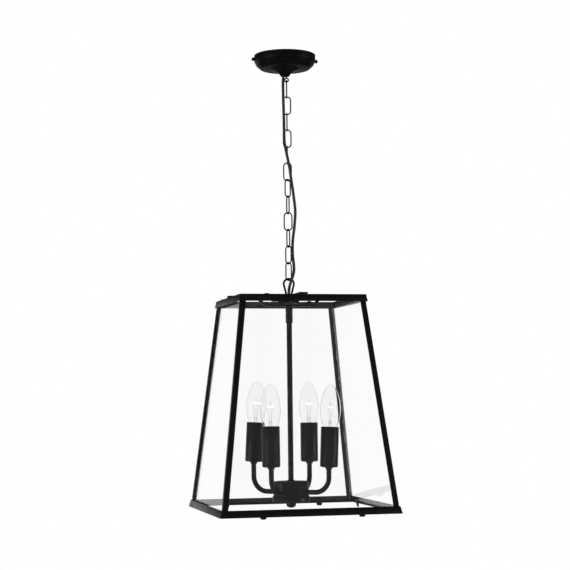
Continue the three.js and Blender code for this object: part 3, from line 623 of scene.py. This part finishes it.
# the round goes on past its level until the wire points at the neck
slack = math.atan2(drop, neck.x) - math.acos(loop_radius / math.hypot(neck.x, drop))
tail_radius, cable_bore, nut_radius = 0.00465, 0.0031, 0.00615
loop = bmesh.new()
for side in (-1, 1):
    ring = wire_round(loop, loop_wire, loop_centre + Vector((loop_radius, 0, 0)), 20)
    bmesh.ops.rotate(loop, verts=ring, cent=loop_centre, matrix=turned(-90, "Y").to_3x3())
    end = sweep(loop, ring, loop_centre, side * (90 + math.degrees(slack)), 28)
    middle = sum((v.co for v in end), Vector()) / len(end)
    foot = Vector((math.copysign(neck.x, middle.x), 0, neck.z))
    draw_out(loop, end, foot - middle)
bmesh.ops.remove_doubles(loop, verts=loop.verts, dist=1e-5)
bmesh.ops.recalc_face_normals(loop, faces=loop.faces)
put_in(loop, softened(collar(nut_radius, cable_bore, -0.4339, -0.4186), 0.0012, 4))
put_in(loop, softened(collar(tail_radius, cable_bore, -0.4606, -0.433), 0.0002))
moved(loop, hang_turn)
fitted("loop", loop, black_paint, "lantern_frame", "black_paint", "lantern_loop")

# Cross straps: two flat steel bars across the top ring, bent down in the middle where they
# nest on each other, with a hole for the loop's tail.
strap_end, strap_flat, strap_level, strap_slope = 0.1081, 0.0436, -0.4253, 47
strap_width, strap_thickness, rod_hole = 0.0145, 0.003, 0.00495
for name, flat, turn in (("lower", -0.4405, 0), ("upper", -0.4372, 90)):
    run = (strap_level - flat) / math.tan(math.radians(strap_slope))
    bend = [(-strap_end, strap_level), (-strap_flat - run, strap_level), (-strap_flat, flat)]
    line = [*bend, *[(-x, z) for x, z in reversed(bend)]]
    strap = strip(line, strap_width, strap_thickness)
    # the bends are the creases across the strap that are not at its ends
    bends = [e for e in strap.edges if e.calc_face_angle(0) > 0.5 and abs(e.verts[0].co.x) < 0.1
             and abs(e.verts[0].co.y - e.verts[1].co.y) > 0.01]
    bmesh.ops.bevel(
        strap, geom=bends, offset=0.0022, offset_type="OFFSET", segments=4,
        profile=0.5, affect="EDGES", clamp_overlap=True, material=-1,
    )
    softened(strap, 0.0004)
    moved(strap, turned(turn))
    drill = spun([(0, -0.46), (rod_hole, -0.46), (rod_hole, -0.42), (0, -0.42)], 48)
    strap = drilled(strap, [drill])
    fitted(f"strap_{name}", strap, black_paint, "lantern_frame", "black_paint",
           f"cross_strap_{name}")

# Loop nut and rod coupler: round turned nuts on the tail. The upper one clamps the straps,
# and the lower one joins the tail to the rod.
for name, node in (("nut", "loop_nut"), ("coupler", "rod_coupler")):
    low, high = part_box(node)
    nut = softened(collar(nut_radius, rod_hole, low[2], high[2]), 0.0008, 3)
    fitted(name, nut, black_paint, "lantern_frame", "black_paint", node)

# Rings: strips of steel on edge, bent square and flared a little, with welded corners. The top
# one has a lug on each side, turned in over the edge of the pane.
frame_top, frame_height, half_top, half_bottom = -0.4256, 0.3644, 0.10635, 0.14935
ring_height, ring_thickness, ring_seam = 0.012, 0.0015, 0.0003
slope = (half_bottom - half_top) / frame_height
lean = math.atan(slope)


def post_face(level):
    """Half the width of the frame over the posts at a level."""
    return half_top + (frame_top - level) * slope


def square_ring(top, flare):
    """A strip on edge round the posts, bent square, which stands out at the foot by a flare."""
    bottom = top - ring_height
    inside_top = post_face(top) + ring_seam
    inside_bottom = post_face(bottom) + ring_seam + flare
    section = [
        (inside_bottom, bottom), (inside_bottom + ring_thickness, bottom),
        (inside_top + ring_thickness, top), (inside_top, top), (inside_bottom, bottom),
    ]
    ring = spun([(half * math.sqrt(2), height) for half, height in section], 4)
    return softened(moved(ring, turned(45)), 0.0003)


top_ring = square_ring(frame_top, 0.0008)
for side in range(4):
    lug = bmesh.new()
    bmesh.ops.create_cube(lug, size=1)
    bmesh.ops.scale(lug, verts=lug.verts, vec=(0.0066, 0.0068, 0.0027))
    softened(lug, 0.0004)
    lug_place = Matrix.Translation((-0.062, -0.10395, -0.42575))
    put_in(top_ring, lug, turned(90 * side) @ lug_place)
fitted("top_ring", top_ring, black_paint, "lantern_frame", "black_paint", "top_ring")
bottom_ring = square_ring(frame_top - frame_height + ring_height, 0.0015)
fitted("bottom_ring", bottom_ring, black_paint, "lantern_frame", "black_paint", "bottom_ring")

# Corner posts: rolled steel angle, 9.5 mm on a side and 2.5 mm thick, which leans out both ways
# on its way down. The panes lie in the angle.
def flat_face(shape, outline, height):
    """A flat face in a mesh, from the places round it."""
    return shape.faces.new([shape.verts.new((x, y, height)) for x, y in outline])


def thickened(shape, faces, run):
    """Draws flat faces out along Z into a solid."""
    grown = bmesh.ops.extrude_face_region(shape, geom=faces)["geom"]
    bmesh.ops.translate(shape, verts=corners_in(grown), vec=(0, 0, run))


leg, thick, post_start = 0.0095, 0.0025, 0.001
angle_section = [(0, 0), (-leg, 0), (-leg, -thick), (-thick, -thick), (-thick, -leg), (0, -leg)]
leaning = Matrix(((1, 0, -slope, 0), (0, 1, -slope, 0), (0, 0, 1, 0), (0, 0, 0, 1)))
post_place = Matrix.Translation((half_top, half_top, frame_top)) @ leaning
for corner, name in enumerate(("back_right", "back_left", "front_left", "front_right")):
    post = bmesh.new()
    face = flat_face(post, angle_section, -post_start)
    thickened(post, [face], 2 * post_start - frame_height)
    softened(post, 0.00045)
    moved(post, turned(90 * corner) @ post_place)
    fitted(f"post_{name}", post, black_paint, "lantern_frame", "black_paint", f"post_{name}")

# Panes: four trapezoids of clear float glass 3 mm thick with ground edges. The front and back
# ones run from post to post, and the side ones fit between them.
def clear_glass(name, tint, dust, bend, shine):
    """Clear glass with a clean skin that mirrors the room, and a trace of dust in its gloss."""
    material, tree, shader = new_finish(name)
    place = added(tree, "ShaderNodeTexCoord", {}).outputs["Object"]
    film = added(tree, "ShaderNodeTexNoise", {"Vector": place, "Scale": 26, "Detail": 6})
    gloss = added(tree, "ShaderNodeMapRange", {
        "Value": film.outputs["Fac"], "From Min": 0.45, "From Max": 0.8, "To Max": dust,
    })
    # its shadow is faint
    shade = added(tree, "ShaderNodeMapRange", {
        "Value": added(tree, "ShaderNodeLightPath", {}).outputs["Is Shadow Ray"],
        "To Min": 1, "To Max": 0.12,
    })
    wired(tree, shader, {
        "Base Color": (*tint, 1), "Transmission Weight": 1, "IOR": bend, "Coat Weight": shine,
        "Coat Roughness": 0.01, "Roughness": gloss.outputs["Result"],
        "Alpha": shade.outputs["Result"],
    })
    return material


pane_glass = clear_glass("float_glass", (0.996, 0.998, 0.997), 0.02, 1.02, 0.45)
glass_thickness, screw_radius = 0.003, 0.0023
clip_level = -0.7865
pane_bottom = clip_level + screw_radius * math.cos(lean)
pane_top = frame_top - 0.0021
pane_depth = glass_thickness / math.cos(lean)


def pane_face(level):
    """Half the width over the panes at a level: they stand inside the posts."""
    return post_face(level) - 0.0028


# a place on the inner face of the front pane, at the level of the clips' screws, leaning with it
pane_place = (
    Matrix.Translation((0, pane_depth - pane_face(clip_level), clip_level))
    @ Matrix.Rotation(math.pi / 2 - lean, 4, "X")
)
pane_foot = screw_radius
pane_head = pane_foot + (pane_top - pane_bottom) / math.cos(lean)
sides = ("front", "right", "back", "left")
for k, side in enumerate(sides):
    set_in = 0 if k % 2 == 0 else pane_depth + 0.0003
    low_half, high_half = pane_face(pane_bottom) - set_in, pane_face(pane_top) - set_in
    pane = bmesh.new()
    face = flat_face(pane, [
        (-low_half, pane_foot), (low_half, pane_foot), (high_half, pane_head),
        (-high_half, pane_head),
    ], 0)
    thickened(pane, [face], glass_thickness)
    softened(pane, 0.0003, 1)
    moved(pane, turned(90 * k) @ pane_place)
    fitted(f"pane_{side}", pane, pane_glass, "lantern_frame", "clear_glass", f"glass_{side}",
           crease=20)

# Turn clips: small rounded plates that turn on slotted screws in the bottom ring and hold the
# panes' lower edges. The left one at the front stands a little nearer the middle.
clip_width, clip_height, clip_thickness, clip_off_glass = 0.0108, 0.012, 0.0015, 0.0018
half_clip = [(0.2, 0.38), (0.42, 0.26), (0.5, 0.02), (0.5, -0.38), (0.42, -0.53), (0.3, -0.62)]
clip_outline = [(x * clip_width, y * clip_height) for x, y in half_clip]
clip_outline += [(-x, y) for x, y in reversed(clip_outline)]
for k, side in enumerate(sides):
    for i, across in enumerate((-0.08 if side == "front" else -0.086, 0.086)):
        where = turned(90 * k) @ pane_place @ Matrix.Translation((across, 0, 0))
        clip = bmesh.new()
        face = flat_face(clip, reversed(clip_outline), -clip_off_glass)
        bmesh.ops.bevel(
            clip, geom=face.verts[:], offset=0.0011, offset_type="OFFSET", segments=4,
            profile=0.5, affect="VERTICES", clamp_overlap=True, material=-1,
        )
        thickened(clip, clip.faces[:], clip_thickness)
        softened(clip, 0.00025)
        moved(clip, where)
        fitted(f"clip_{side}_{i + 1}", clip, black_paint, f"turn_clip_{side}_{i + 1}",
               "black_paint", f"clip_{side}_{i + 1}")
        head = spun([
            (0, -0.0035), (0.0016, -0.0034), (0.0028, -0.003), (0.0034, -0.0024),
            (0.0034, -0.0021), (0.002, -0.0021), (0.002, 0.0064), (0, 0.0064),
        ], 32)
        slot = bmesh.new()
        bmesh.ops.create_cube(slot, size=1)
        bmesh.ops.scale(slot, verts=slot.verts, vec=(0.0009, 0.009, 0.0014))
        bmesh.ops.translate(slot, verts=slot.verts, vec=(0, 0, -0.0035))
        # no two slots stand alike
        head = moved(drilled(head, [slot]), where @ turned(20 + 37 * (2 * k + i)))
        fitted(f"clip_screw_{side}_{i + 1}", head, black_paint, "lantern_frame", "black_paint")

# Centre rod: a straight threaded steel tube, painted black, from the coupler to the knob. The
# cable comes out of its window inside the hub.
low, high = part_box("centre_rod")
rod = softened(collar(tail_radius, cable_bore, low[2], high[2]), 0.0002)
fitted("rod", rod, black_paint, "lantern_frame", "black_paint", "centre_rod")

# Hub: a collar nut on the rod over a spun cup, which the arms come out of, closed from below
# by a dished cover. The cup and the cover are sheet steel.
low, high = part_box("hub_nut")
hub_collar = softened(collar(0.0065, rod_hole, low[2], high[2]), 0.0004)
fitted("hub_collar", hub_collar, black_paint, "lantern_frame", "black_paint", "hub_nut")
low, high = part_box("hub_cup")
cup = spun([(0.0302, low[2]), (0.0302, high[2]), (rod_hole, high[2])], 128)
bmesh.ops.solidify(cup, geom=cup.faces[:], thickness=0.0015)
softened(cup, 0.0012, 4)
fitted("cup", cup, black_paint, "lantern_frame", "black_paint", "hub_cup")
low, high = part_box("hub_cover")
cover = spun([
    (rod_hole, low[2]), (0.0314, low[2]), (0.0323, low[2] + 0.0009), (0.0323, low[2] + 0.0066),
    (0.0314, high[2]), (0.0305, high[2]), (0.0305, low[2] + 0.0046), (rod_hole, low[2] + 0.0046),
    (rod_hole, low[2]),
], 128)
softened(cover, 0.0004)
fitted("cover", cover, black_paint, "lantern_frame", "black_paint", "hub_cover")

# Connector block in the hub, where the lamps' wires meet the cable.
hub_block = connector(0.02, 0.01, 0.009)
low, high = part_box("hub_terminal_block")
moved(hub_block, Matrix.Translation([(a + b) / 2 for a, b in zip(low, high)]))
fitted("hub_connector", hub_block, nylon, "lantern_frame", "pale_nylon", "hub_terminal_block")

# Finial: a round turned knob on the end of the rod, which holds up the hub.
low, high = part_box("finial")
knob_line = smooth_line([
    (0, low[2]), (0.0025, low[2] + 0.0001), (0.0052, low[2] + 0.001), (0.0076, low[2] + 0.0029),
    (0.0084, low[2] + 0.0057), (0.0083, high[2] - 0.0012), (0.0076, high[2]),
], 6)
blind_end = high[2] - 0.005
knob = spun([*knob_line, (rod_hole, high[2]), (rod_hole, blind_end), (0, blind_end)], 64)
fitted("knob", knob, black_paint, "lantern_frame", "black_paint", "finial")

# Arms: four bent steel tubes. Each leaves the hub's side through a hole, with a nut inside, and
# bends up in a quarter circle to carry a lampholder of black moulded plastic.
moulded = painted(
    "moulded_black", (0.012, 0.012, 0.012), (0.018, 0.018, 0.018), (0.03, 0.03, 0.03),
    (0.42, 0.55), 2000, 0.15,
)
brass = painted(
    "nickel_brass", (0.55, 0.5, 0.42), (0.66, 0.62, 0.55), (0.8, 0.76, 0.7),
    (0.2, 0.34), 1500, 0.1, metallic=1.0, sheen=0.5,
)
arm_radius, arm_start, arm_reach, arm_bend = 0.0043, 0.0226, 0.0724, 0.026
arm_height, hub_turn = -0.7593, 4.8
# each arm's corner in degrees, the height of its end over the hub, and its lamp's lean
arms = [(135, 0.0472, 3.1), (225, 0.0414, -0.4), (45, 0.0452, 0), (-45, 0.0392, 2.3)]
stands = []
for i, (corner, rise, tilt) in enumerate(arms):
    stand = turned(corner + hub_turn)
    foot = stand @ Vector((arm_reach, 0, arm_height + rise))
    upright = Matrix.Translation(foot) @ turned(tilt, "Y")
    stands.append(upright)
    arm = bmesh.new()
    ring = wire_round(arm, arm_radius, (0, 0, 0), 24)
    moved(arm, Matrix.Translation((arm_start, 0, arm_height)) @ turned(90, "Y"))
    end = draw_out(arm, ring, (arm_reach - arm_bend - arm_start, 0, 0))
    end = sweep(arm, end, (arm_reach - arm_bend, 0, arm_height + arm_bend), -90, 20)
    draw_out(arm, end, (0, 0, rise + 0.012 - arm_bend))
    bmesh.ops.holes_fill(arm, edges=[e for e in arm.edges if e.is_boundary])
    bmesh.ops.recalc_face_normals(arm, faces=arm.faces)
    nut = spun([(0, 0.0246), (0.0065, 0.0246), (0.0065, 0.0276), (0, 0.0276)], 6)
    nut_place = Matrix.Translation((0, 0, arm_height)) @ turned(90, "Y")
    put_in(arm, softened(nut, 0.0004), nut_place)
    moved(arm, stand)
    fitted(f"arm_{i + 1}", arm, black_paint, "lantern_frame", "black_paint", f"lamp_arm_{i + 1}")
    holder = spun([
        (0, 0.008), (0.0118, 0.008), (0.0125, 0.0087), (0.0125, 0.0628), (0.012, 0.0633),
        (0.0078, 0.0633), (0.0074, 0.0628), (0.0074, 0.0383), (0, 0.0383),
    ], 64)
    moved(holder, upright)
    fitted(f"lampholder_{i + 1}", holder, moulded, "lantern_frame", "black_paint")

# Sleeves: tall tubes of thin painted steel over the lampholders, each drawn in at the foot to
# sit on its arm.
sleeve_radius, sleeve_height, sleeve_wall = 0.0153, 0.072, 0.0008
for i, upright in enumerate(stands):
    foot = smooth_line([(0.0054, 0), (0.006, 0.0022), (0.0073, 0.0035)], 5)
    heel = smooth_line([(0.0125, 0.0037), (0.0145, 0.0045), (sleeve_radius, 0.0066)], 6)
    wall = [(sleeve_radius, 0.03), (sleeve_radius, sleeve_height)]
    sleeve = spun([*foot, *heel, *wall], 96)
    bmesh.ops.solidify(sleeve, geom=sleeve.faces[:], thickness=sleeve_wall)
    softened(sleeve, 0.0003, sharper_than=35)
    moved(sleeve, upright)
    fitted(f"sleeve_{i + 1}", sleeve, black_paint, "lantern_frame", "black_paint",
           f"lamp_sleeve_{i + 1}")

# Candle lamps: a clear blown envelope on a screw cap, with a glass stem inside that carries
# the coil on fine support wires.
lamp_glass = clear_glass("lamp_glass", (0.968, 0.968, 0.966), 0.01, 1.015, 0.05)
lead_wire = painted(
    "lead_wire", (0.3, 0.29, 0.28), (0.4, 0.39, 0.38), (0.5, 0.5, 0.5), (0.3, 0.45),
    4000, 0.1, metallic=1.0, sheen=0.5,
)
copper_wire = painted(
    "copper_wire", (0.42, 0.16, 0.09), (0.5, 0.22, 0.13), (0.6, 0.3, 0.2), (0.3, 0.45),
    4000, 0.1, metallic=1.0, sheen=0.5,
)
tungsten = painted(
    "tungsten_coil", (0.7, 0.66, 0.6), (0.8, 0.76, 0.7), (0.8, 0.8, 0.8), (0.4, 0.5),
    4000, 0.05, metallic=1.0, sheen=0.5,
)
# the coil glows warm: a painted glint that stands in for light caught on the filament
wired(tungsten.node_tree, tungsten.node_tree.nodes["Principled BSDF"], {
    "Emission Color": (1, 0.86, 0.66, 1), "Emission Strength": 3,
})
glass_foot, glass_height, glass_radius, glass_wall = 0.0636, 0.0814, 0.0177, 0.0007
# the envelope's outline, as shares of its radius and height
lamp_shares = [
    (0.39, 0), (0.47, 0.03), (0.64, 0.09), (0.79, 0.17), (0.91, 0.27), (1, 0.4),
    (0.975, 0.55), (0.88, 0.68), (0.645, 0.84), (0.34, 0.95), (0.12, 0.985), (0, 1),
]
lamp_outline = smooth_line([
    (glass_radius * across, glass_foot + glass_height * up) for across, up in lamp_shares
], 6)
thread_root, thread_crest, thread_start, thread_pitch = 0.0063, 0.0069, 0.0428, 0.0025
lead_spread, lead_radius, seal_radius, fine_wire = 0.0019, 0.0002, 0.0005, 0.00014
coil_radius, coil_step = 0.00045, 1.05
for i, (upright, facing_turn) in enumerate(zip(stands, (-28, 8, -13, 34))):
    body = f"bulb_{i + 1}"
    envelope = spun(lamp_outline, 72)
    bmesh.ops.solidify(envelope, geom=envelope.faces[:], thickness=glass_wall)
    moved(envelope, upright)
    fitted(f"lamp_glass_{i + 1}", envelope, lamp_glass, body, "clear_glass", f"lamp_{i + 1}")

    cap_line = [(0, 0.0386), (0.0025, 0.0386), (0.0032, 0.0403), (0.0058, 0.0418)]
    for turn_of_thread in range(7):
        height = thread_start + turn_of_thread * thread_pitch
        cap_line += [(thread_root, height), (thread_crest, height + thread_pitch / 2)]
    cap_line += [
        (0.0066, 0.0608), (0.0066, 0.0636), (0.0072, 0.0645), (0.0072, 0.0659),
        (0.006, 0.0659), (0.006, 0.0613), (0, 0.0613),
    ]
    cap = moved(spun(cap_line, 48), upright)
    fitted(f"lamp_cap_{i + 1}", cap, brass, body, "zinc_steel")

    stem_glass = spun(smooth_line([
        (0, 0.0618), (0.0056, 0.0618), (0.005, 0.0693), (0.0034, 0.0763), (0.0026, 0.0823),
        (0.0011, 0.0855), (0.0009, 0.0973), (0.0009, 0.1105), (0.0016, 0.1122), (0.0011, 0.114),
        (0, 0.1143),
    ], 4), 32)
    moved(stem_glass, upright)
    fitted(f"lamp_stem_{i + 1}", stem_glass, lamp_glass, body, "clear_glass")

    leads, sealed = bmesh.new(), bmesh.new()
    for side in (-1, 1):
        across = side * lead_spread
        in_glass = wire_along([(across, 0, 0.0768), (across, 0, 0.081)], seal_radius, 2)
        lead = wire_along(smooth_line([
            (across, 0, 0.0665), (across, 0, 0.081), (side * 0.0024, 0, 0.092),
            (side * 0.0056, 0, 0.1035), (side * 0.0058, 0, 0.1049),
        ], 4), lead_radius, 2)
        support = wire_along(smooth_line([
            (side * 0.0008, 0, 0.1128), (side * 0.0022, 0, 0.1105), (side * 0.0028, 0, 0.1058),
        ], 4), fine_wire, 2)
        put_in(sealed, in_glass)
        put_in(leads, lead)
        put_in(leads, support)
    coil_line = smooth_line([
        (-0.0057, 0, 0.1046), (-0.0028, 0, 0.1057), (0, 0, 0.105), (0.0028, 0, 0.1057),
        (0.0057, 0, 0.1046),
    ], 60)
    coil = wire_along([
        place + Vector((0, math.cos(k * coil_step), math.sin(k * coil_step))) * coil_radius
        for k, place in enumerate(coil_line)
    ], fine_wire, 1)
    for shape, name, finish in (
        (sealed, "seal", copper_wire), (leads, "leads", lead_wire), (coil, "coil", tungsten),
    ):
        moved(shape, upright @ turned(facing_turn))
        fitted(f"lamp_{name}_{i + 1}", shape, finish, body, "zinc_steel")

bpy.context.scene.view_settings.view_transform = "Standard"
